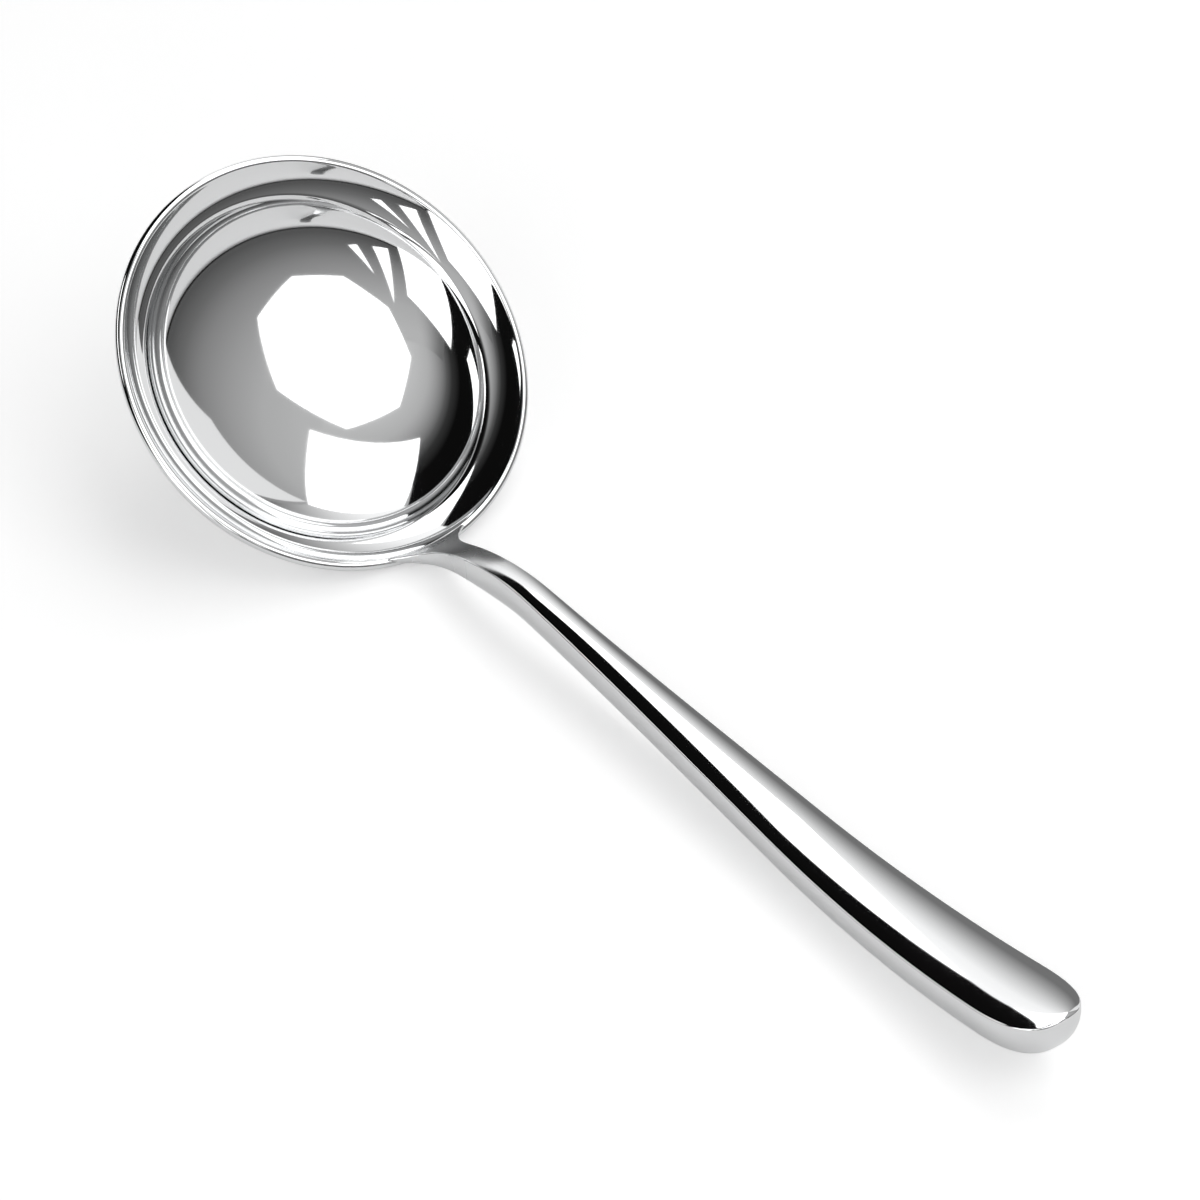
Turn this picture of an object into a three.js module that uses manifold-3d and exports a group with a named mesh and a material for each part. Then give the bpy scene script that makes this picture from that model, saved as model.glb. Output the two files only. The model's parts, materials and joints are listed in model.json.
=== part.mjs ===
// Soup ladle of polished stainless steel: a drawn bowl with a flared pouring lip, a solid neck that is
// welded to the lip, and a hollow grip of two pressed shells, cemented onto the neck's tang.
// The pieces are made in the bowl's own frame, with the rim in the plane z = 0 and the handle towards +x,
// and the whole ladle is then laid down as it rests on a table.
import * as THREE from 'three';
import { mergeVertices } from 'three/addons/utils/BufferGeometryUtils.js';
import Module from 'manifold-3d';

const { clamp, degToRad, lerp, smoothstep } = THREE.MathUtils;

// Bowl, in millimetres and degrees
const RIM_RADIUS = 47.5; // outermost edge of the lip
const SHEET = 2.2; // thickness of the drawn sheet
const FLARE_RADIUS = 16.4; // hollow of the flared lip
const FLARE_LOW = 26; // slope of the lip where it leaves the shoulder
const FLARE_HIGH = 50; // slope of the lip at its edge
const SHOULDER_RADIUS = 3; // tight bend from the cup's wall into the lip
const CUP_DEPTH = 18; // from the rim's plane to the bottom of the cup
const CUP_SLOPE = 60; // slope of the cup's wall where the shoulder starts
const BASE_FLAT_RADIUS = 7; // small flat under the cup

// Spine of the handle: it climbs from the lip, bends over, runs straight and sweeps up at its end
const ROOT_INSET = 1.5; // where the spine starts, in from the rim
const ROOT_RISE = 1.7; // the same, up from the rim's plane
const ROOT_DROP = 1.2; // how far the weld reaches down over the lip's edge
const RISE_ANGLE = 72.7; // heading at the lip, from the rim's plane
const BEND_RADIUS = 60; // bend of the neck
const RUN_ANGLE = 34.5; // heading of the straight run
const RUN_LENGTH = 82.5;
const SWEEP_LENGTH = 78.8; // upward sweep of the grip
const SWEEP_RADIUS = 278.698; // bend of that sweep

// Section of the handle: half width at the crease, crown above the crease and depth below it
const ROOT_HALF_WIDTH = 10;
const ROOT_CROWN = 0.3;
const ROOT_DEPTH = 3.2;
const NECK_HALF_WIDTH = 3;
const NECK_CROWN = 1;
const NECK_DEPTH = 8.1;
const GRIP_HALF_WIDTH = 9.8;
const GRIP_CROWN = 1.4;
const GRIP_DEPTH = 10.7;
const UNDERSIDE_FULLNESS = 2.4; // 2 is a half ellipse, more is squarer
const ROOT_FULLNESS = 1.4; // the same at the root, where the fan's sides run out thin

// Lengths along the spine
const FAN_LENGTH = 14; // where the root's fan has narrowed to the neck
const FAN_HOLLOW = 3; // 1 narrows evenly, more is hollower
const THICKEN_LENGTH = 30; // where the thin root has thickened to the neck
const THICKEN_HOLLOW = 2;
const TAPER_START = 15; // where the neck starts to widen into the grip
const END_ROUND = 18; // rounding of the grip's end
const END_FULLNESS = 2.7; // 2 is an ellipse, more is blunter
const WELD_LENGTH = 5; // weld's share of the fan
const NECK_LENGTH = 66; // from the lip to the mouth of the grip
const TANG_LENGTH = 48; // how far the tang reaches into the grip
const CEMENT_END = 5; // cement past the tang's tip

// Walls and clearances
const WALL = 1; // pressed sheet of the grip
const CEMENT = 1.2; // cement between the tang and the grip's wall
const TANG_TIP_SHARE = 0.7; // tang's size at its tip, as a share of its size at the mouth
const FIT = 0.3; // gap between pieces that touch

// Fineness of the faceted solids
const BOWL_SIDES = 60;
const CUP_STEPS = 9;
const SHOULDER_STEPS = 6;
const FLARE_STEPS = 5;
const EDGE_STEPS = 6;
const CROWN_STEPS = 8;
const UNDERSIDE_STEPS = 12;
const FAN_STEP = 1.4;
const NECK_STEP = 2.6;
const GRIP_STEP = 5;
const END_STEPS = 9;

const wasm = await Module();
wasm.setup();

// Solids and booleans

function solidOf(geometry) {
  geometry.deleteAttribute('normal');
  geometry.deleteAttribute('uv');
  const merged = mergeVertices(geometry);
  const corners = merged.index.array;
  const triangles = [];
  for (let i = 0; i < corners.length; i += 3) {
    const [a, b, c] = corners.slice(i, i + 3);
    if (a !== b && b !== c && c !== a) triangles.push(a, b, c);
  }
  const mesh = { numProp: 3, vertProperties: merged.attributes.position.array };
  return new wasm.Manifold(new wasm.Mesh({ ...mesh, triVerts: Uint32Array.from(triangles) }));
}

function geometryOf(solid) {
  const { vertProperties, triVerts } = solid.getMesh();
  const geometry = new THREE.BufferGeometry();
  geometry.setAttribute('position', new THREE.BufferAttribute(vertProperties, 3));
  geometry.setIndex(new THREE.BufferAttribute(triVerts, 1));
  geometry.computeVertexNormals();
  return geometry;
}

// Bowl

const slope = degToRad(CUP_SLOPE);
const flareLow = degToRad(FLARE_LOW);
const flareHigh = degToRad(FLARE_HIGH);
const edgeX = RIM_RADIUS - SHEET / 2;
const flareX = edgeX - (SHEET / 2 + FLARE_RADIUS) * Math.sin(flareHigh);
const flareZ = (SHEET / 2 + FLARE_RADIUS) * Math.cos(flareHigh);
const shoulderX = flareX + (FLARE_RADIUS + SHOULDER_RADIUS) * Math.sin(flareLow);
const shoulderZ = flareZ - (FLARE_RADIUS + SHOULDER_RADIUS) * Math.cos(flareLow);
const wallX = shoulderX - SHOULDER_RADIUS * Math.sin(slope);
const wallZ = shoulderZ + SHOULDER_RADIUS * Math.cos(slope);
const bottomZ = -CUP_DEPTH;
// The cup is a flattened half ellipse, cut off where its slope meets the shoulder's
const wallTurn = Math.acos((wallZ - bottomZ) / (wallX * Math.tan(slope) - wallZ + bottomZ));
const cupHalfWidth = wallX / Math.sin(wallTurn);
const cupHalfHeight = (wallZ - bottomZ) / (1 - Math.cos(wallTurn));

function arc(x, z, radius, from, to, steps) {
  const points = [];
  for (let i = 0; i <= steps; i++) {
    const angle = degToRad(lerp(from, to, i / steps));
    points.push(new THREE.Vector2(x + radius * Math.cos(angle), z + radius * Math.sin(angle)));
  }
  return points;
}

// The cup's curve from one turn of its ellipse to another, moved out by offset square to the curve
function cupCurve(offset, from, to) {
  const points = [];
  for (let i = 0; i <= CUP_STEPS; i++) {
    const turn = lerp(from, to, i / CUP_STEPS);
    const out = new THREE.Vector2(cupHalfHeight * Math.sin(turn), -cupHalfWidth * Math.cos(turn));
    const inside = new THREE.Vector2(cupHalfWidth * Math.sin(turn), bottomZ);
    inside.y += cupHalfHeight * (1 - Math.cos(turn));
    points.push(inside.addScaledVector(out.normalize(), offset));
  }
  return points;
}

// The bowl's section from the axis under the cup, round the lip and back down the inside to the axis, with
// every face moved out by grow
function bowlSection(grow) {
  const wall = 90 + CUP_SLOPE;
  const shoulder = 90 + FLARE_LOW;
  const low = FLARE_LOW - 90;
  const high = FLARE_HIGH - 90;
  const under = SHEET + grow;
  const flatTurn = Math.asin(BASE_FLAT_RADIUS / (cupHalfWidth + (under * cupHalfHeight) / cupHalfWidth));
  const section = [
    ...cupCurve(under, flatTurn, wallTurn),
    ...arc(shoulderX, shoulderZ, SHOULDER_RADIUS - under, wall, shoulder, SHOULDER_STEPS).slice(1),
    ...arc(flareX, flareZ, FLARE_RADIUS + under, low, high, FLARE_STEPS).slice(1),
    ...arc(edgeX, 0, SHEET / 2 + grow, high, high + 180, EDGE_STEPS).slice(1),
    ...arc(flareX, flareZ, FLARE_RADIUS - grow, high, low, FLARE_STEPS).slice(1),
    ...arc(shoulderX, shoulderZ, SHOULDER_RADIUS + grow, shoulder, wall, SHOULDER_STEPS).slice(1),
    ...cupCurve(-grow, wallTurn, 0).slice(1, -1),
  ];
  const onAxis = (z) => new THREE.Vector2(0, z);
  return [onAxis(section[0].y), ...section, onAxis(bottomZ + grow)];
}

function bowlSolid(grow = 0) {
  return solidOf(new THREE.LatheGeometry(bowlSection(grow), BOWL_SIDES).rotateX(Math.PI / 2));
}

// Spine and section of the handle

const rise = degToRad(RISE_ANGLE);
const run = degToRad(RUN_ANGLE);
const bendLength = BEND_RADIUS * (rise - run);
const handleLength = bendLength + RUN_LENGTH + SWEEP_LENGTH;
const rootX = RIM_RADIUS - ROOT_INSET;
const rootZ = ROOT_RISE;

function spineAt(s) {
  const down = Math.min(s, 0);
  const bent = clamp(s, 0, bendLength) / BEND_RADIUS;
  const straight = clamp(s - bendLength, 0, RUN_LENGTH);
  const swept = Math.max(s - bendLength - RUN_LENGTH, 0) / SWEEP_RADIUS;
  const heading = rise - bent + swept;
  const bendX = BEND_RADIUS * (Math.sin(rise) - Math.sin(rise - bent));
  const bendZ = BEND_RADIUS * (Math.cos(rise - bent) - Math.cos(rise));
  const sweepX = SWEEP_RADIUS * (Math.sin(run + swept) - Math.sin(run));
  const sweepZ = SWEEP_RADIUS * (Math.cos(run) - Math.cos(run + swept));
  const x = rootX + down * Math.cos(rise) + bendX + straight * Math.cos(run) + sweepX;
  const z = rootZ + down * Math.sin(rise) + bendZ + straight * Math.sin(run) + sweepZ;
  return { x, z, heading };
}

// Half width, crown, depth and fullness at a place on the spine, with the surface moved in by inset, and
// the share of the sizes that is left where the end rounds off
function sizesAt(s, inset = 0) {
  const fan = (1 - clamp(s / FAN_LENGTH, 0, 1)) ** FAN_HOLLOW;
  const thin = (1 - clamp(s / THICKEN_LENGTH, 0, 1)) ** THICKEN_HOLLOW;
  const taper = smoothstep(s, TAPER_START, handleLength);
  const rounded = clamp((s - handleLength + END_ROUND) / (END_ROUND - inset), 0, 1);
  const close = (1 - rounded ** END_FULLNESS) ** (1 / END_FULLNESS);
  const size = (root, neck, grip, share) => neck + (root - neck) * share + (grip - neck) * taper - inset;
  return {
    half: size(ROOT_HALF_WIDTH, NECK_HALF_WIDTH, GRIP_HALF_WIDTH, fan),
    crown: size(ROOT_CROWN, NECK_CROWN, GRIP_CROWN, fan),
    depth: size(ROOT_DEPTH, NECK_DEPTH, GRIP_DEPTH, thin),
    fullness: lerp(UNDERSIDE_FULLNESS, ROOT_FULLNESS, thin),
    close,
  };
}

// The section's outline across the spine: an arc for the crown and a full half ellipse for the underside
function outline({ half, crown, depth, fullness, close }) {
  const spread = 2 * Math.atan2(crown, half);
  const radius = half / Math.sin(spread);
  const points = [];
  for (let i = 0; i < CROWN_STEPS; i++) {
    const angle = lerp(spread, -spread, i / CROWN_STEPS);
    points.push([radius * Math.sin(angle), crown - radius * (1 - Math.cos(angle))]);
  }
  for (let i = 0; i < UNDERSIDE_STEPS; i++) {
    const angle = (Math.PI * i) / UNDERSIDE_STEPS;
    const across = Math.abs(Math.cos(angle)) ** (2 / fullness);
    const under = Math.sin(angle) ** (2 / fullness);
    points.push([-half * Math.sign(Math.cos(angle)) * across, -depth * under]);
  }
  return points.map(([across, up]) => [across * close, up * close]);
}

// A closed solid through outlines at places along the spine; the fan is bent round the lip's edge
function loft(places, outlineAt) {
  const positions = [];
  const corners = [];
  const place = (s, [across, up]) => {
    const { x, z, heading } = spineAt(s);
    const wrap = (across ** 2 / (2 * RIM_RADIUS)) * (1 - clamp(s / FAN_LENGTH, 0, 1));
    positions.push(x - wrap - up * Math.sin(heading), across, z + up * Math.cos(heading));
  };
  const rings = places.map((s) => outlineAt(s));
  rings.forEach((ring, i) => ring.forEach((point) => place(places[i], point)));
  const count = rings[0].length;
  const middleOf = (ring) => [0, ring.reduce((sum, point) => sum + point[1], 0) / count];
  const first = positions.length / 3;
  place(places[0], middleOf(rings[0]));
  place(places.at(-1), middleOf(rings.at(-1)));
  const lastRing = (rings.length - 1) * count;
  for (let j = 0; j < count; j++) {
    const k = (j + 1) % count;
    for (let i = 0; i < rings.length - 1; i++) {
      const here = i * count;
      const next = here + count;
      corners.push(here + j, here + k, next + k, here + j, next + k, next + j);
    }
    corners.push(first, k, j, first + 1, lastRing + j, lastRing + k);
  }
  const geometry = new THREE.BufferGeometry();
  geometry.setAttribute('position', new THREE.Float32BufferAttribute(positions, 3));
  geometry.setIndex(corners);
  return solidOf(geometry);
}

// Places along the spine, both ends included, no further apart than step
function placesBetween(from, to, step) {
  const count = Math.ceil((to - from) / step);
  return Array.from({ length: count + 1 }, (_, i) => lerp(from, to, i / count));
}

// Places along the grip's skin, closer together as its end rounds off
function gripPlaces(from, inset) {
  const places = placesBetween(from, handleLength - END_ROUND, GRIP_STEP);
  for (let i = 1; i <= END_STEPS; i++) {
    const turn = (Math.PI / 2) * (i / END_STEPS);
    places.push(handleLength - END_ROUND + (END_ROUND - inset) * Math.sin(turn));
  }
  return places;
}

// The two sides of the seam: everything above or below the crease
function seamSide(side) {
  const reach = 2 * GRIP_HALF_WIDTH;
  const near = (side * FIT) / 2;
  const low = Math.min(near, side * reach);
  const high = Math.max(near, side * reach);
  const box = [[reach, low], [reach, high], [-reach, high], [-reach, low]];
  return loft(placesBetween(NECK_LENGTH - reach, handleLength + reach, GRIP_STEP), () => box);
}

// Root weld and neck

function rootWeld() {
  const body = loft(placesBetween(-ROOT_DROP, WELD_LENGTH, FAN_STEP), (s) => outline(sizesAt(s)));
  return body.subtract(bowlSolid(FIT));
}

// The tang is the mouth's inside, less the cement, narrowing to its tip
function tang(grow) {
  const mouth = sizesAt(NECK_LENGTH, WALL + CEMENT);
  const tip = NECK_LENGTH + TANG_LENGTH + grow;
  const outlineAt = (s) => {
    const share = lerp(1, TANG_TIP_SHARE, clamp((s - NECK_LENGTH) / TANG_LENGTH, 0, 1));
    const half = mouth.half * share + grow;
    const top = -CEMENT + grow;
    const bottom = -CEMENT - (mouth.depth - CEMENT) * share - grow;
    return [[half, bottom], [half, top], [-half, top], [-half, bottom]];
  };
  return loft(placesBetween(NECK_LENGTH - WALL, tip, GRIP_STEP), outlineAt);
}

function neck() {
  const start = WELD_LENGTH + FIT;
  const fan = placesBetween(start, FAN_LENGTH, FAN_STEP);
  const bar = placesBetween(FAN_LENGTH, NECK_LENGTH, NECK_STEP).slice(1);
  return loft([...fan, ...bar], (s) => outline(sizesAt(s))).add(tang(0));
}

// Grip

function gripShell(side) {
  const mouth = NECK_LENGTH + FIT;
  const outside = loft(gripPlaces(mouth, 0), (s) => outline(sizesAt(s)));
  const inside = loft(gripPlaces(mouth - WALL, WALL), (s) => outline(sizesAt(s, WALL)));
  return outside.subtract(inside).intersect(seamSide(side));
}

function tangCement() {
  const places = placesBetween(NECK_LENGTH + FIT, NECK_LENGTH + TANG_LENGTH + CEMENT_END, GRIP_STEP);
  return loft(places, (s) => outline(sizesAt(s, WALL + FIT))).subtract(tang(FIT));
}

// Rest: the tilt at which the table touches both the bowl's side and the grip's underside
function restTilt() {
  const underside = (s) => {
    const { x, z, heading } = spineAt(s);
    const { depth, close } = sizesAt(s);
    return new THREE.Vector2(x + depth * close * Math.sin(heading), z - depth * close * Math.cos(heading));
  };
  const bowlSide = [...bowlSection(0), ...placesBetween(-ROOT_DROP, FAN_LENGTH, FAN_STEP).map(underside)];
  const gripSide = placesBetween(NECK_LENGTH, handleLength, FAN_STEP).map(underside);
  const tilts = bowlSide.map((low) => Math.min(...gripSide.map((under) => under.clone().sub(low).angle())));
  return Math.max(...tilts);
}

// Assembly

const polishedSteel = () => new THREE.MeshStandardMaterial({ color: 0xc9cbcd, roughness: 0.08, metalness: 1 });
const cementGrey = () => new THREE.MeshStandardMaterial({ color: 0xb8b1a3, roughness: 0.95, metalness: 0 });

const ladle = new THREE.Group();

function addPiece(name, solid, material) {
  const piece = new THREE.Mesh(geometryOf(solid), material);
  piece.name = name;
  ladle.add(piece);
}

addPiece('bowl', bowlSolid(), polishedSteel());
addPiece('root_weld', rootWeld(), polishedSteel());
addPiece('neck', neck(), polishedSteel());
addPiece('grip_upper_shell', gripShell(1), polishedSteel());
addPiece('grip_lower_shell', gripShell(-1), polishedSteel());
addPiece('tang_cement', tangCement(), cementGrey());

// Laid down on the table, with the origin under the middle of the ladle
ladle.rotation.y = restTilt();
const part = new THREE.Group();
part.add(ladle);
part.updateMatrixWorld(true);
const box = new THREE.Box3().setFromObject(part, true);
ladle.position.set(-(box.min.x + box.max.x) / 2, 0, -box.min.z);

export default part;
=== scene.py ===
# %% [markdown]
# # A polished soup ladle
# The ladle lies on a table: on the low side of its bowl and on the underside of its grip.
# Its real sizes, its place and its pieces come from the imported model, which is loaded first.
# What follows gives each piece its smooth mirror surface, and then sets up the studio that it mirrors.

# %% Load the frame
import json
import math

import bmesh
import bpy
from mathutils import Matrix, Vector


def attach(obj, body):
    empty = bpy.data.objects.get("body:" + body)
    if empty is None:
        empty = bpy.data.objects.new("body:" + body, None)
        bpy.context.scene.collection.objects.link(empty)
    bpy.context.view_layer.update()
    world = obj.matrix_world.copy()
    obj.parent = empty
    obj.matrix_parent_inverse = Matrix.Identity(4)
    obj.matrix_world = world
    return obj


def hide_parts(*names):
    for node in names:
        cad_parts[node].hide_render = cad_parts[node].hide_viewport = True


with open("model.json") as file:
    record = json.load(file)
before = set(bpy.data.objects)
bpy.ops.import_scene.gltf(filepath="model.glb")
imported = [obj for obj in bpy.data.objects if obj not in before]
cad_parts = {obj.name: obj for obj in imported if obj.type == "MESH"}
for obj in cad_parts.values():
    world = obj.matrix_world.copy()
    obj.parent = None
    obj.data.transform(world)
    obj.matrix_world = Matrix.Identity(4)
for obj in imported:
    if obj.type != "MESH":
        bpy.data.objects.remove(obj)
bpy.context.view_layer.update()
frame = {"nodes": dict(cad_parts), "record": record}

scene = bpy.context.scene
scene.view_settings.view_transform = "Standard"
print("pieces of the frame:", ", ".join(sorted(frame["nodes"])))

# %% [markdown]
# ## The camera
# A long lens from about a metre away gives the flat, calm perspective of a product picture.
# The place and the three turns were worked out from the ellipse that the lip makes in the photograph,
# so the camera is set by its place and turns, and not by aiming it at a point.

# %% Camera
CAMERA_PLACE = (0.5983, -0.5124, 0.6736)
CAMERA_ELEVATION = 39.27  # degrees above the table
CAMERA_AZIMUTH = 49.63  # degrees from the -Y side towards +X
CAMERA_ROLL = 2.61
LENS_MM = 150
SENSOR_MM = 36

camera_data = bpy.data.cameras.new("camera")
camera_data.lens = LENS_MM
camera_data.sensor_width = SENSOR_MM
camera = bpy.data.objects.new("camera", camera_data)
scene.collection.objects.link(camera)
turn = Matrix.Rotation(math.radians(CAMERA_AZIMUTH), 4, "Z")
tip = Matrix.Rotation(math.radians(90 - CAMERA_ELEVATION), 4, "X")
roll = Matrix.Rotation(math.radians(CAMERA_ROLL), 4, "Z")
camera.matrix_world = Matrix.Translation(CAMERA_PLACE) @ turn @ tip @ roll
scene.camera = camera
print("camera", [round(v, 3) for v in camera.location], "lens", LENS_MM, "mm")

# %% [markdown]
# ## The bowl's own frame
# The bowl is easiest to draw upright, with its lip level, and it lies tilted on the table.
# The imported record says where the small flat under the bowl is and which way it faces. That is enough to
# turn upright drawing into place: the bowl's axis points away from that flat, and the handle leaves along +X.

# %% Bowl frame
base_flat = frame["record"]["mounts"][0]
axis = -Vector(base_flat["axis"])
side = Vector((0, 1, 0))
out = side.cross(axis)
print("bowl tilted by", round(math.degrees(axis.angle(Vector((0, 0, 1)))), 2), "degrees")

# %% [markdown]
# ## The bowl's section
# The bowl is one sheet of steel, drawn into a flattened cup. At the top the sheet bends outwards over a tight
# shoulder and flares into a hollow lip that turns up towards its rounded edge, so that soup pours cleanly.
# Its section is part of an ellipse and a chain of arcs, which meet without a corner: each starts where the last ended.
# The points are close together where the arc is tight: a mirror shows every flat spot.

# %% Bowl section
RIM_RADIUS = 0.0475
SHEET = 0.0022
FLARE_RADIUS = 0.0164
FLARE_LOW, FLARE_HIGH = 26, 50
SHOULDER_RADIUS = 0.003
CUP_DEPTH = 0.018
CUP_SLOPE = 60
BASE_FLAT_RADIUS = 0.007


def polar(centre, radius, degrees):
    turned = math.radians(degrees)
    return Vector((centre[0] + radius * math.cos(turned), centre[1] + radius * math.sin(turned)))


def arc(centre, radius, start, end, step):
    count = max(2, math.ceil(abs(end - start) / step))
    return [polar(centre, radius, start + (end - start) * i / count) for i in range(count + 1)]


edge_middle = Vector((RIM_RADIUS - SHEET / 2, 0))
flare_middle = polar(edge_middle, SHEET / 2 + FLARE_RADIUS, 90 + FLARE_HIGH)
shoulder_middle = polar(flare_middle, FLARE_RADIUS + SHOULDER_RADIUS, FLARE_LOW - 90)
wall_top = polar(shoulder_middle, SHOULDER_RADIUS, 90 + CUP_SLOPE)
bottom = -CUP_DEPTH
drop = wall_top.y - bottom
wall_turn = math.acos(drop / (wall_top.x * math.tan(math.radians(CUP_SLOPE)) - drop))
cup_half_width = wall_top.x / math.sin(wall_turn)
cup_half_height = drop / (1 - math.cos(wall_turn))


def cup_curve(offset, start, end, count):
    points = []
    for i in range(count + 1):
        turned = start + (end - start) * i / count
        outwards = Vector((cup_half_height * math.sin(turned), -cup_half_width * math.cos(turned))).normalized()
        inside = Vector((cup_half_width * math.sin(turned), bottom + cup_half_height * (1 - math.cos(turned))))
        points.append(inside + offset * outwards)
    return points


def bowl_section():
    wall, shoulder, low, high = 90 + CUP_SLOPE, 90 + FLARE_LOW, FLARE_LOW - 90, FLARE_HIGH - 90
    flat_turn = math.asin(BASE_FLAT_RADIUS / (cup_half_width + SHEET * cup_half_height / cup_half_width))
    arcs = [
        cup_curve(SHEET, flat_turn, wall_turn, 40),
        arc(shoulder_middle, SHOULDER_RADIUS - SHEET, wall, shoulder, 4),
        arc(flare_middle, FLARE_RADIUS + SHEET, low, high, 2),
        arc(edge_middle, SHEET / 2, high, high + 180, 5),
        arc(flare_middle, FLARE_RADIUS, high, low, 0.8),
        arc(shoulder_middle, SHOULDER_RADIUS, shoulder, wall, 1.5),
        cup_curve(0, wall_turn, 0, 80),
    ]
    points = [Vector((0, arcs[0][0].y))] + arcs[0]
    for piece in arcs[1:]:
        points += piece[1:]
    return points


section_points = bowl_section()
base_height = section_points[0].y
bowl_to_table = Matrix((
    (out.x, side.x, axis.x, base_flat["pos_m"][0] - axis.x * base_height),
    (out.y, side.y, axis.y, base_flat["pos_m"][1] - axis.y * base_height),
    (out.z, side.z, axis.z, base_flat["pos_m"][2] - axis.z * base_height),
    (0, 0, 0, 1),
))
print("bowl section:", len(section_points), "points, cup", round(CUP_DEPTH * 1000, 1), "mm deep")

# %% [markdown]
# ## Spinning the section
# A metal spinner's bowl follows one rule: every point of the section goes round the axis on a circle.
# Geometry nodes can say just that. A flat grid has one column for each point of the section and one row for each
# step round the axis. Each grid point looks up its section point and is turned about the axis by its row.
# Blender's Screw modifier could do this too, but here the rule is in plain sight and its inputs have names.

# %% Node helpers


def add_node(tree, kind, **settings):
    node = tree.nodes.new(kind)
    for name, value in settings.items():
        setattr(node, name, value)
    return node


def wire(tree, source, target):
    tree.links.new(source, target)


def do_math(tree, operation, first, second=None):
    node = add_node(tree, "ShaderNodeMath", operation=operation)
    for socket, value in zip(node.inputs, (first, second)):
        if isinstance(value, (int, float)):
            socket.default_value = value
        elif value is not None:
            wire(tree, value, socket)
    return node.outputs[0]


# %% Spinning tree
def spinning_tree():
    tree = bpy.data.node_groups.new("spin_a_section", "GeometryNodeTree")
    tree.interface.new_socket("Section", in_out="INPUT", socket_type="NodeSocketGeometry")
    tree.interface.new_socket("Steps", in_out="INPUT", socket_type="NodeSocketInt")
    tree.interface.new_socket("Finish", in_out="INPUT", socket_type="NodeSocketMaterial")
    tree.interface.new_socket("Bowl", in_out="OUTPUT", socket_type="NodeSocketGeometry")
    given = add_node(tree, "NodeGroupInput")
    made = add_node(tree, "NodeGroupOutput")

    size = add_node(tree, "GeometryNodeAttributeDomainSize", component="MESH")
    wire(tree, given.outputs["Section"], size.inputs[0])
    rows = do_math(tree, "ADD", given.outputs["Steps"], 1)
    grid = add_node(tree, "GeometryNodeMeshGrid")
    wire(tree, size.outputs["Point Count"], grid.inputs["Vertices X"])
    wire(tree, rows, grid.inputs["Vertices Y"])

    index = add_node(tree, "GeometryNodeInputIndex").outputs[0]
    column = do_math(tree, "FLOOR", do_math(tree, "DIVIDE", index, rows))
    row = do_math(tree, "SUBTRACT", index, do_math(tree, "MULTIPLY", column, rows))
    turned = do_math(tree, "DIVIDE", do_math(tree, "MULTIPLY", row, math.tau), given.outputs["Steps"])

    look_up = add_node(tree, "GeometryNodeSampleIndex", data_type="FLOAT_VECTOR", domain="POINT")
    wire(tree, given.outputs["Section"], look_up.inputs["Geometry"])
    wire(tree, add_node(tree, "GeometryNodeInputPosition").outputs[0], look_up.inputs["Value"])
    wire(tree, column, look_up.inputs["Index"])
    spin = add_node(tree, "ShaderNodeVectorRotate", rotation_type="Z_AXIS")
    wire(tree, look_up.outputs[0], spin.inputs["Vector"])
    wire(tree, turned, spin.inputs["Angle"])

    put = add_node(tree, "GeometryNodeSetPosition")
    wire(tree, grid.outputs["Mesh"], put.inputs["Geometry"])
    wire(tree, spin.outputs[0], put.inputs["Position"])
    close = add_node(tree, "GeometryNodeMergeByDistance")
    close.inputs["Distance"].default_value = 1e-7
    wire(tree, put.outputs[0], close.inputs["Geometry"])
    real = add_node(tree, "GeometryNodeRealizeInstances")
    wire(tree, close.outputs[0], real.inputs[0])
    coat = add_node(tree, "GeometryNodeSetMaterial")
    wire(tree, real.outputs[0], coat.inputs["Geometry"])
    wire(tree, given.outputs["Finish"], coat.inputs["Material"])
    wire(tree, coat.outputs[0], made.inputs[0])
    return tree


# %% [markdown]
# ## Mirror-polished steel
# Polished steel is nearly a perfect mirror. What tells it from plain chrome paint is faint: the polishing wheel leaves
# fine lines that run with its stroke, and handling leaves patches that are a little less sharp.
# The lines are a stretched noise that only the bump reads, far too shallow to see as grooves, and the patches are a
# slow noise on the roughness. The pattern is turned into the bowl's frame, so that the bowl's lines go round its axis.

# %% Steel
STEEL_COLOUR = (0.83, 0.835, 0.84, 1)


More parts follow.
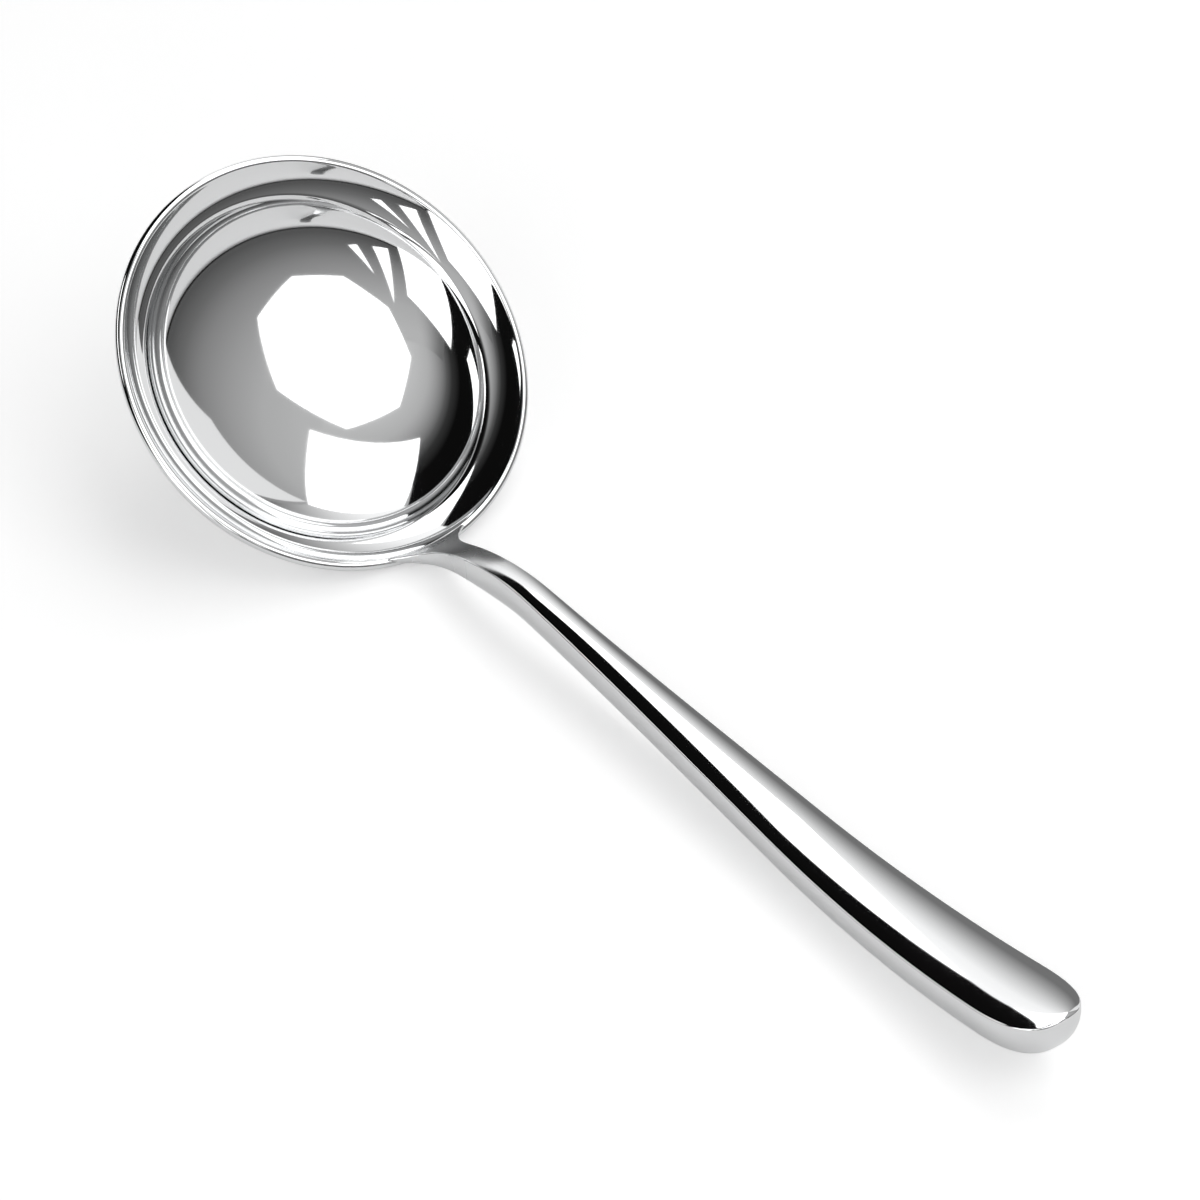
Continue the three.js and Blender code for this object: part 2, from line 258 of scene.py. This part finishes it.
def steel(name, stretch, turn_by):
    material = bpy.data.materials.new(name)
    material.use_nodes = True
    tree = material.node_tree
    shader = tree.nodes["Principled BSDF"]
    shader.inputs["Base Color"].default_value = STEEL_COLOUR
    shader.inputs["Metallic"].default_value = 1

    where = add_node(tree, "ShaderNodeTexCoord")
    turned = add_node(tree, "ShaderNodeMapping", vector_type="TEXTURE")
    turned.inputs["Rotation"].default_value = turn_by
    wire(tree, where.outputs["Object"], turned.inputs["Vector"])
    stretched = add_node(tree, "ShaderNodeMapping")
    stretched.inputs["Scale"].default_value = stretch
    wire(tree, turned.outputs["Vector"], stretched.inputs["Vector"])

    patches = add_node(tree, "ShaderNodeTexNoise")
    patches.inputs["Scale"].default_value = 60
    patches.inputs["Detail"].default_value = 3
    wire(tree, where.outputs["Object"], patches.inputs["Vector"])
    sharpness = add_node(tree, "ShaderNodeMapRange")
    sharpness.inputs["To Min"].default_value = 0.03
    sharpness.inputs["To Max"].default_value = 0.07
    wire(tree, patches.outputs[0], sharpness.inputs["Value"])
    wire(tree, sharpness.outputs[0], shader.inputs["Roughness"])

    strokes = add_node(tree, "ShaderNodeTexNoise")
    strokes.inputs["Scale"].default_value = 1
    strokes.inputs["Detail"].default_value = 2
    wire(tree, stretched.outputs["Vector"], strokes.inputs["Vector"])
    bump = add_node(tree, "ShaderNodeBump")
    bump.inputs["Strength"].default_value = 0.02
    bump.inputs["Distance"].default_value = 0.00001
    wire(tree, strokes.outputs[0], bump.inputs["Height"])
    wire(tree, bump.outputs[0], shader.inputs["Normal"])
    return material


bowl_turn = bowl_to_table.to_euler()
bowl_polish = steel("bowl_polish", (300, 300, 4000), bowl_turn)
handle_polish = steel("handle_polish", (120, 4000, 4000), (0, 0, 0))
print("finishes:", bowl_polish.name, handle_polish.name)

# %% [markdown]
# The polishing wheel is too big for the inner corner between the lip and the neck, so the steel there is only dressed
# by hand and stays softer. The roughness rises over the last stretch of the neck, read from the place along X.

# %% Hand-dressed corner
CORNER_START, CORNER_END = -0.026, -0.047
CORNER_SOFTNESS = 0.22
tree = handle_polish.node_tree
handle_shader = tree.nodes["Principled BSDF"]
wheel_finish = handle_shader.inputs["Roughness"].links[0].from_socket
along_handle = add_node(tree, "ShaderNodeSeparateXYZ")
wire(tree, add_node(tree, "ShaderNodeTexCoord").outputs["Object"], along_handle.inputs[0])
corner = add_node(tree, "ShaderNodeMapRange", interpolation_type="SMOOTHSTEP")
wire(tree, along_handle.outputs["X"], corner.inputs["Value"])
corner.inputs["From Min"].default_value = CORNER_START
corner.inputs["From Max"].default_value = CORNER_END
corner.inputs["To Max"].default_value = CORNER_SOFTNESS
wire(tree, do_math(tree, "ADD", wheel_finish, corner.outputs["Result"]), handle_shader.inputs["Roughness"])
print("softer corner over", CORNER_START - CORNER_END, "m")

# %% Bowl
BOWL_STEPS = 240
SHARP_ANGLE = 38  # degrees between faces that keep a hard edge


def finished(name, mesh, node):
    mesh.polygons.foreach_set("use_smooth", [True] * len(mesh.polygons))
    mesh.set_sharp_from_angle(angle=math.radians(SHARP_ANGLE))
    piece = bpy.data.objects.new(name, mesh)
    scene.collection.objects.link(piece)
    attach(piece, "root")
    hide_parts(node)
    print(name, "has", len(mesh.polygons), "faces")


def spun_bowl():
    line = bpy.data.meshes.new("section")
    line.from_pydata([(p.x, 0, p.y) for p in section_points], [(i, i + 1) for i in range(len(section_points) - 1)], [])
    holder = bpy.data.objects.new("section", line)
    scene.collection.objects.link(holder)
    tree = spinning_tree()
    spinner = holder.modifiers.new("spin", "NODES")
    spinner.node_group = tree
    sockets = {item.name: item.identifier for item in tree.interface.items_tree}
    spinner[sockets["Steps"]] = BOWL_STEPS
    spinner[sockets["Finish"]] = bowl_polish
    depsgraph = bpy.context.evaluated_depsgraph_get()
    mesh = bpy.data.meshes.new_from_object(holder.evaluated_get(depsgraph))
    bpy.data.objects.remove(holder)
    mesh.transform(bowl_to_table)
    return mesh


def facing_out(mesh):
    body = bmesh.new()
    body.from_mesh(mesh)
    bmesh.ops.recalc_face_normals(body, faces=body.faces)
    body.to_mesh(mesh)
    body.free()
    return mesh


finished("bowl_mirror", facing_out(spun_bowl()), "bowl")

# %% [markdown]
# ## The handle's spine and section
# The handle follows a line in the ladle's middle plane: it climbs from the lip, bends over, runs straight and sweeps
# up towards its end. Across that line the section has a low crown on top and a full, deep underside, and the two meet
# in a crease along each side. Real creases are never knife-sharp, so a small round is laid over this one:
# without it the crease would catch no light.

# %% Spine
ROOT_INSET, ROOT_RISE = 0.0015, 0.0017
ROOT_DROP = 0.0012
RISE_ANGLE = 72.7
BEND_RADIUS = 0.060
RUN_ANGLE = 34.5
RUN_LENGTH = 0.0825
SWEEP_LENGTH = 0.0788
END_ANGLE = 50.7

rise, run = math.radians(RISE_ANGLE), math.radians(RUN_ANGLE)
bend_length = BEND_RADIUS * (rise - run)
sweep_radius = SWEEP_LENGTH / math.radians(END_ANGLE - RUN_ANGLE)
handle_length = bend_length + RUN_LENGTH + SWEEP_LENGTH
root = Vector((RIM_RADIUS - ROOT_INSET, ROOT_RISE))


def clamp(value, low, high):
    return max(low, min(high, value))


def spine_at(s):
    bent = clamp(s, 0, bend_length) / BEND_RADIUS
    straight = clamp(s - bend_length, 0, RUN_LENGTH)
    swept = max(s - bend_length - RUN_LENGTH, 0) / sweep_radius
    x = root.x + min(s, 0) * math.cos(rise) + BEND_RADIUS * (math.sin(rise) - math.sin(rise - bent))
    x += straight * math.cos(run) + sweep_radius * (math.sin(run + swept) - math.sin(run))
    z = root.y + min(s, 0) * math.sin(rise) + BEND_RADIUS * (math.cos(rise - bent) - math.cos(rise))
    z += straight * math.sin(run) + sweep_radius * (math.cos(run) - math.cos(run + swept))
    return x, z, rise - bent + swept


print("handle", round(handle_length * 1000, 1), "mm along its spine")

# %% Section
ROOT_HALF_WIDTH, ROOT_CROWN, ROOT_DEPTH = 0.010, 0.0003, 0.0032
NECK_HALF_WIDTH, NECK_CROWN, NECK_DEPTH = 0.003, 0.001, 0.0081
GRIP_HALF_WIDTH, GRIP_CROWN, GRIP_DEPTH = 0.0098, 0.0014, 0.0107
UNDERSIDE_FULLNESS, ROOT_FULLNESS = 2.4, 1.4
FAN_LENGTH, FAN_HOLLOW = 0.014, 3
THICKEN_LENGTH, THICKEN_HOLLOW = 0.030, 2
CROWN_RISE, CROWN_START = 0.068, 0.12  # where the crown is full, and how far along that growth the root is
TAPER_START = 0.015
END_ROUND, END_FULLNESS = 0.018, 2.7
CREASE_ROUND, CREASE_SHARE = 0.0004, 0.2  # the round's size, and its largest share of a thin section


def sizes_at(s, inset=0):
    fan = (1 - clamp(s / FAN_LENGTH, 0, 1)) ** FAN_HOLLOW
    thin = (1 - clamp(s / THICKEN_LENGTH, 0, 1)) ** THICKEN_HOLLOW
    along = clamp((s - TAPER_START) / (handle_length - TAPER_START), 0, 1)
    taper = along * along * (3 - 2 * along)
    rounded = clamp((s - handle_length + END_ROUND) / (END_ROUND - inset), 0, 1)
    close = (1 - rounded**END_FULLNESS) ** (1 / END_FULLNESS)

    def size(at_root, at_neck, at_grip, share):
        return (at_neck + (at_root - at_neck) * share + (at_grip - at_neck) * taper - inset) * close

    half = size(ROOT_HALF_WIDTH, NECK_HALF_WIDTH, GRIP_HALF_WIDTH, fan)
    grown = clamp(s / CROWN_RISE, CROWN_START, 1)
    crown = size(ROOT_CROWN, NECK_CROWN, GRIP_CROWN, fan) * grown * grown * (3 - 2 * grown)
    depth = size(ROOT_DEPTH, NECK_DEPTH, GRIP_DEPTH, thin)
    fullness = UNDERSIDE_FULLNESS + (ROOT_FULLNESS - UNDERSIDE_FULLNESS) * thin
    return half, crown, depth, fullness


CROWN_STEPS = 28
UNDERSIDE_STEPS = 44
ROUND_STEPS = 4


def corner_round(half, crown, depth):
    """Size, upper end, middle and lower end of the small round over the crease on the section's right."""
    size = min(CREASE_ROUND, CREASE_SHARE * half, CREASE_SHARE * depth)
    spread = 2 * math.atan2(crown, half)
    above = Vector((half - size * math.cos(spread), size * math.sin(spread)))
    return size, above, Vector((half, 0)), Vector((half, -size))


def bend(first, middle, last, start, end):
    shares = [start + (end - start) * i / ROUND_STEPS for i in range(ROUND_STEPS + 1)]
    return [first * (1 - t) ** 2 + middle * 2 * t * (1 - t) + last * t**2 for t in shares]


def mirrored(points):
    return [Vector((-p.x, p.y)) for p in reversed(points)]


def crown_line(half, crown, depth):
    size, above, corner, below = corner_round(half, crown, depth)
    spread = 2 * math.atan2(crown, half)
    radius = half / math.sin(spread) if spread else 1
    spread -= size / radius
    angles = [spread - 2 * spread * i / CROWN_STEPS for i in range(1, CROWN_STEPS)]
    arched = [Vector((radius * math.sin(a), crown - radius * (1 - math.cos(a)))) for a in angles]
    half_round = bend(below, corner, above, 0.5, 1)
    return half_round + arched + mirrored(half_round)


def underside_line(half, crown, depth, fullness):
    size, above, corner, below = corner_round(half, crown, depth)
    start = math.asin((size / depth) ** (fullness / 2)) if depth else 0
    points = []
    for i in range(1, UNDERSIDE_STEPS):
        angle = start + (math.pi - 2 * start) * i / UNDERSIDE_STEPS
        across = math.copysign(abs(math.cos(angle)) ** (2 / fullness), math.cos(angle))
        points.append(Vector((-half * across, -depth * math.sin(angle) ** (2 / fullness))))
    half_round = bend(below, corner, above, 0.5, 0)
    return mirrored(half_round[::-1]) + points + half_round[::-1]


print("grip", round(2000 * GRIP_HALF_WIDTH, 1), "mm wide and", round(1000 * (GRIP_CROWN + GRIP_DEPTH), 1), "mm thick")

# %% [markdown]
# ## Skinning the handle
# A loft joins one outline to the next along the spine, as a boat's planks join its frames. Each piece of the handle is
# its own loft: the weld at the root, the solid neck and the two pressed shells of the hollow grip. They share one set
# of outlines, so that the mirror runs on from piece to piece and only a hairline shows where two of them meet.

# %% Loft


def on_table(s, point):
    x, z, heading = spine_at(s)
    x -= point.x**2 / (2 * RIM_RADIUS) * (1 - clamp(s / FAN_LENGTH, 0, 1))
    place = Vector((x - point.y * math.sin(heading), point.x, z + point.y * math.cos(heading)))
    return bowl_to_table @ place


def loft(name, runs, finish):
    body = bmesh.new()
    for places, outline_at in runs:
        rows = [[body.verts.new(on_table(s, p)) for p in outline_at(s)] for s in places]
        count = len(rows[0])
        for lower, upper in zip(rows, rows[1:]):
            for j in range(count):
                k = (j + 1) % count
                body.faces.new((lower[j], lower[k], upper[k], upper[j]))
        body.faces.new(rows[0])
        body.faces.new(rows[-1])
    bmesh.ops.remove_doubles(body, verts=body.verts, dist=1e-7)
    bmesh.ops.recalc_face_normals(body, faces=body.faces)
    mesh = bpy.data.meshes.new(name)
    body.to_mesh(mesh)
    body.free()
    mesh.materials.append(finish)
    return mesh


def places_between(start, end, step):
    count = math.ceil((end - start) / step)
    return [start + (end - start) * i / count for i in range(count + 1)]


def whole_outline(s):
    half, crown, depth, fullness = sizes_at(s)
    return crown_line(half, crown, depth)[:-1] + underside_line(half, crown, depth, fullness)[:-1]


# %% Root weld and neck
WELD_LENGTH = 0.005
NECK_LENGTH = 0.066
TANG_LENGTH, TANG_TIP_SHARE = 0.048, 0.7
WALL = 0.001
CEMENT = 0.0012
HAIRLINE = 0.000002
STEP = 0.0008

weld_places = places_between(-ROOT_DROP, WELD_LENGTH, STEP / 3)
weld_mesh = loft("root_weld_mirror", [(weld_places, whole_outline)], handle_polish)
finished("root_weld_mirror", weld_mesh, "root_weld")


def tang_outline(s):
    mouth_half, _, mouth_depth, _ = sizes_at(NECK_LENGTH, WALL + CEMENT)
    share = 1 - (1 - TANG_TIP_SHARE) * clamp((s - NECK_LENGTH) / TANG_LENGTH, 0, 1)
    half, top = mouth_half * share, -CEMENT
    bottom_edge = top - (mouth_depth - CEMENT) * share
    return [Vector((half, bottom_edge)), Vector((half, top)), Vector((-half, top)), Vector((-half, bottom_edge))]


neck_places = places_between(WELD_LENGTH + HAIRLINE, NECK_LENGTH, STEP)
tang_places = places_between(NECK_LENGTH - WALL, NECK_LENGTH + TANG_LENGTH, 5 * STEP)
neck_mesh = loft("neck_mirror", [(neck_places, whole_outline), (tang_places, tang_outline)], handle_polish)
finished("neck_mirror", neck_mesh, "neck")

# %% Grip shells
END_STEPS = 40


def grip_places():
    places = places_between(NECK_LENGTH + HAIRLINE, handle_length - END_ROUND, STEP)
    for i in range(1, END_STEPS + 1):
        places.append(handle_length - END_ROUND * (1 - math.sin(math.pi / 2 * i / END_STEPS)))
    return places


def upper_outline(s):
    inner = [max(size, 0) for size in sizes_at(min(s, handle_length - WALL), WALL)]
    return crown_line(*sizes_at(s)[:3]) + crown_line(*inner[:3])[::-1]


def lower_outline(s):
    inner = [max(size, 0) for size in sizes_at(min(s, handle_length - WALL), WALL)]
    return underside_line(*sizes_at(s)) + underside_line(*inner)[::-1]


upper_mesh = loft("grip_crown", [(grip_places(), upper_outline)], handle_polish)
finished("grip_crown", upper_mesh, "grip_upper_shell")
lower_mesh = loft("grip_trough", [(grip_places(), lower_outline)], handle_polish)
finished("grip_trough", lower_mesh, "grip_lower_shell")

# %% [markdown]
# ## The cement
# Nobody sees it: it fills the mouth of the hollow grip round the neck's tang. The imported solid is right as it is,
# so it stays and only gets a dull, grainy finish.

# %% Cement
cement = bpy.data.materials.new("cement")
cement.use_nodes = True
grain = add_node(cement.node_tree, "ShaderNodeTexNoise")
grain.inputs["Scale"].default_value = 1500
shade = add_node(cement.node_tree, "ShaderNodeValToRGB")
shade.color_ramp.elements[0].color = (0.55, 0.52, 0.47, 1)
shade.color_ramp.elements[1].color = (0.78, 0.75, 0.7, 1)
wire(cement.node_tree, add_node(cement.node_tree, "ShaderNodeTexCoord").outputs["Object"], grain.inputs["Vector"])
wire(cement.node_tree, grain.outputs[0], shade.inputs[0])
wire(cement.node_tree, shade.outputs[0], cement.node_tree.nodes["Principled BSDF"].inputs["Base Color"])
cement.node_tree.nodes["Principled BSDF"].inputs["Roughness"].default_value = 0.9
filler = frame["nodes"]["tang_cement"]
filler.data.materials.clear()
filler.data.materials.append(cement)

# %% [markdown]
# ## The studio
# A mirror has hardly any look of its own: it shows the room. So the room is built as a photographer would build it.
# The table is white. A sheet of grey paper stands round its far side. It gives its own light, painted into it brighter
# towards its top, and the near side of the room is left dark, because dark reflections are what draws the edges of
# polished steel. The paper's painted glow fades at its end into the dark, so that no edge of it shows in the bowl, and
# the camera looks through it.
# The world is the room above the paper: a glow over the far side that fades into the dark.

# %% Room
GLOW_AZIMUTH, GLOW_ELEVATION = 10, 52
ROOM_SHADES = ((0.5, 0.004), (0.62, 0.035), (0.68, 0.11), (0.75, 0.29), (0.83, 0.5), (0.92, 0.62))


def towards(azimuth, elevation):
    turned, lifted = math.radians(azimuth), math.radians(elevation)
    return Vector((math.cos(lifted) * math.cos(turned), math.cos(lifted) * math.sin(turned), math.sin(lifted)))


def shade_ramp(tree, shades):
    ramp = add_node(tree, "ShaderNodeValToRGB")
    while len(ramp.color_ramp.elements) < len(shades):
        ramp.color_ramp.elements.new(1)
    for stop, (place, shade) in zip(ramp.color_ramp.elements, shades):
        stop.position = place
        stop.color = (shade, shade, shade, 1)
    return ramp


world = bpy.data.worlds.new("studio")
scene.world = world
world.use_nodes = True
tree = world.node_tree
direction = add_node(tree, "ShaderNodeTexCoord").outputs["Generated"]
along_glow = add_node(tree, "ShaderNodeVectorMath", operation="DOT_PRODUCT")
wire(tree, direction, along_glow.inputs[0])
along_glow.inputs[1].default_value = towards(GLOW_AZIMUTH, GLOW_ELEVATION)
room = shade_ramp(tree, ROOM_SHADES)
wire(tree, along_glow.outputs["Value"], room.inputs[0])
wire(tree, room.outputs[0], tree.nodes["Background"].inputs["Color"])
tree.nodes["Background"].inputs["Strength"].default_value = 1
print("room shades:", len(ROOM_SHADES))

# %% Grey paper
PAPER_DISTANCE = 2.9
PAPER_FOOT, PAPER_TOP = 0.08, 5.0
PAPER_START, PAPER_END = -75, 153
PAPER_FADE, PAPER_DIM = -45, 0.3  # where the fade ends, and the share of light left at the paper's end
PAPER_PANEL = 3  # degrees
PAPER_SHADES = ((0.05, 0.1), (0.155, 0.16), (0.27, 0.27), (0.406, 0.37), (0.58, 0.48), (0.83, 0.53))


def glow(name, strength):
    material = bpy.data.materials.new(name)
    material.use_nodes = True
    tree = material.node_tree
    light = add_node(tree, "ShaderNodeEmission")
    light.inputs["Strength"].default_value = strength
    open_air = add_node(tree, "ShaderNodeBsdfTransparent")
    ray = add_node(tree, "ShaderNodeLightPath")
    seen_through = add_node(tree, "ShaderNodeMixShader")
    wire(tree, ray.outputs["Is Camera Ray"], seen_through.inputs[0])
    wire(tree, light.outputs[0], seen_through.inputs[1])
    wire(tree, open_air.outputs[0], seen_through.inputs[2])
    wire(tree, seen_through.outputs[0], tree.nodes["Material Output"].inputs["Surface"])
    return material


# The paper's brightness is painted light. Its glow is brighter towards its top, through the shades, and dimmed towards
# its end, through the fade. No lamp lights it.
paper_glow = glow("glowing_grey_paper", 1)
tree = paper_glow.node_tree
paper_place = add_node(tree, "ShaderNodeSeparateXYZ")
wire(tree, add_node(tree, "ShaderNodeTexCoord").outputs["Object"], paper_place.inputs[0])
paper = shade_ramp(tree, PAPER_SHADES)
wire(tree, do_math(tree, "DIVIDE", paper_place.outputs["Z"], PAPER_TOP), paper.inputs[0])
paper_turn = do_math(tree, "ARCTAN2", paper_place.outputs["Y"], paper_place.outputs["X"])
paper_end = add_node(tree, "ShaderNodeMapRange", interpolation_type="SMOOTHSTEP")
wire(tree, paper_turn, paper_end.inputs["Value"])
paper_end.inputs["From Min"].default_value = math.radians(PAPER_START)
paper_end.inputs["From Max"].default_value = math.radians(PAPER_FADE)
paper_end.inputs["To Min"].default_value = PAPER_DIM
wire(tree, paper.outputs[0], tree.nodes["Emission"].inputs["Color"])
wire(tree, paper_end.outputs["Result"], tree.nodes["Emission"].inputs["Strength"])

paper_sides = [towards(az, 0) * PAPER_DISTANCE for az in range(PAPER_START, PAPER_END + 1, PAPER_PANEL)]
paper_points = [side + Vector((0, 0, z)) for z in (PAPER_FOOT, PAPER_TOP) for side in paper_sides]
count = len(paper_sides)
paper_mesh = bpy.data.meshes.new("glowing_grey_paper")
paper_mesh.from_pydata(paper_points, [], [(i, i + 1, count + i + 1, count + i) for i in range(count - 1)])
paper_mesh.materials.append(paper_glow)
paper_sheet = bpy.data.objects.new("glowing_grey_paper", paper_mesh)
scene.collection.objects.link(paper_sheet)
print("grey paper of", count - 1, "panels")

# %% [markdown]
# ## The lights
# The main light is an eight-sided softbox high on the far side. A square one stands beside it, a tall window is by the
# camera's left, and slim gaps beside the window let in a little more light. Each is a plain card that glows, given by
# the directions in which the bowl sees its corners. The camera looks through the cards, so none ever hides the ladle.

# %% Glowing cards
BOWL_SPOT = Vector((-0.099, 0, 0.025))
SOFTBOX_STRENGTH = 1.9
OCTAGON_AZIMUTH, OCTAGON_ELEVATION, OCTAGON_RADIUS = 15.4, 54, 0.46
SQUARE_DISTANCE, GAP_DISTANCE = 1.2, 1.0


def card(name, points, finish):
    mesh = bpy.data.meshes.new(name)
    mesh.from_pydata(points, [], [range(len(points))])
    mesh.materials.append(finish)
    sheet = bpy.data.objects.new(name, mesh)
    scene.collection.objects.link(sheet)
    print(name, "has", len(points), "corners")


def seen_at(spots, distance):
    return [BOWL_SPOT + distance * towards(azimuth, elevation) for azimuth, elevation in spots]


softbox = glow("softbox_cloth", SOFTBOX_STRENGTH)
ahead = towards(OCTAGON_AZIMUTH, OCTAGON_ELEVATION)
across = Vector((0, 0, 1)).cross(ahead).normalized()
upright = ahead.cross(across)
spokes = [(math.cos(k * math.pi / 4), math.sin(k * math.pi / 4)) for k in range(8)]
eight = [BOWL_SPOT + ahead + OCTAGON_RADIUS * (across * x + upright * y) for x, y in spokes]
card("main_softbox", eight, softbox)
card("square_softbox", seen_at([(65, 56), (110, 40), (149, 44), (160, 85)], SQUARE_DISTANCE), softbox)
card("window", [(0.045, -0.9, 0), (0.66, -0.9, 0), (0.93, -0.9, 1.1), (0.045, -0.9, 1.1)], softbox)
card("wide_gap", seen_at([(-41, 7), (-31, 11), (-28, 45)], GAP_DISTANCE), softbox)
card("slim_gap", seen_at([(-22, 13), (-17, 15), (-23, 32)], GAP_DISTANCE), softbox)
card("near_gap", seen_at([(-156, 27), (-106, 29), (-104, 40), (-156, 40)], GAP_DISTANCE), softbox)

# %% [markdown]
# A skirt of thin cloth hangs under the square softbox. Light runs down the cloth and fades towards one corner, and that
# fade is what the low crown of the handle shows: bright beside its near edge, and grey at its far edge. A white sheet
# stands next to the skirt. It glows with light of its own, painted into it, and the near wall of the bowl shows it as a
# pale crescent.

# %% Skirt and white sheet
SKIRT_LEAN = Vector((-0.617, 0, 0.494))
SKIRT_DISTANCE, SKIRT_STRENGTH = 1.25, 1.2
SHEET_STRENGTH = 0.88
SKIRT_SHADES = ((0.55, 0.16), (0.63, 0.36), (0.72, 0.64), (0.83, 0.9), (1.0, 1.0))
skirt = glow("softbox_skirt", SKIRT_STRENGTH)
tree = skirt.node_tree
along_skirt = add_node(tree, "ShaderNodeVectorMath", operation="DOT_PRODUCT")
wire(tree, add_node(tree, "ShaderNodeTexCoord").outputs["Object"], along_skirt.inputs[0])
along_skirt.inputs[1].default_value = SKIRT_LEAN
fade = shade_ramp(tree, SKIRT_SHADES)
wire(tree, along_skirt.outputs["Value"], fade.inputs[0])
wire(tree, fade.outputs[0], tree.nodes["Emission"].inputs["Color"])
card("softbox_skirt", seen_at([(110, 40), (106, 2), (168, 0), (149, 44)], SKIRT_DISTANCE), skirt)
# The white sheet is painted light. It glows by itself at an even strength, and no lamp lights it.
sheet_glow = glow("glowing_white_sheet", SHEET_STRENGTH)
card("glowing_white_sheet", seen_at([(76, 0), (79, 27), (108, 41), (104, 0)], SKIRT_DISTANCE), sheet_glow)

# %% [markdown]
# The table is matt and pale. A little light of its own keeps it white for the camera. The steel mirrors only a quarter
# of that, so that the shadow under the ladle still shows in it.

# %% Table
TABLE_SIZE = 6
TABLE_PALE = 0.8
TABLE_WHITE = 0.4
MIRRORED_SHARE = 1 / 4
table_finish = bpy.data.materials.new("white_table")
table_finish.use_nodes = True
tree = table_finish.node_tree
matt = add_node(tree, "ShaderNodeBsdfDiffuse")
matt.inputs["Color"].default_value = (TABLE_PALE, TABLE_PALE, TABLE_PALE, 1)
ray = add_node(tree, "ShaderNodeLightPath")
seen = do_math(tree, "MULTIPLY", ray.outputs["Is Camera Ray"], TABLE_WHITE)
in_steel = do_math(tree, "MULTIPLY", ray.outputs["Is Glossy Ray"], TABLE_WHITE * MIRRORED_SHARE)
white = add_node(tree, "ShaderNodeEmission")
wire(tree, do_math(tree, "ADD", seen, in_steel), white.inputs["Strength"])
both = add_node(tree, "ShaderNodeAddShader")
wire(tree, matt.outputs[0], both.inputs[0])
wire(tree, white.outputs[0], both.inputs[1])
wire(tree, both.outputs[0], tree.nodes["Material Output"].inputs["Surface"])

half_table = TABLE_SIZE / 2
table_mesh = bpy.data.meshes.new("table")
table_corners = [(x * half_table, y * half_table, 0) for x, y in ((-1, -1), (1, -1), (1, 1), (-1, 1))]
table_mesh.from_pydata(table_corners, [], [(0, 1, 2, 3)])
table_mesh.materials.append(table_finish)
table = bpy.data.objects.new("table", table_mesh)
scene.collection.objects.link(table)
print("table", TABLE_SIZE, "m across")
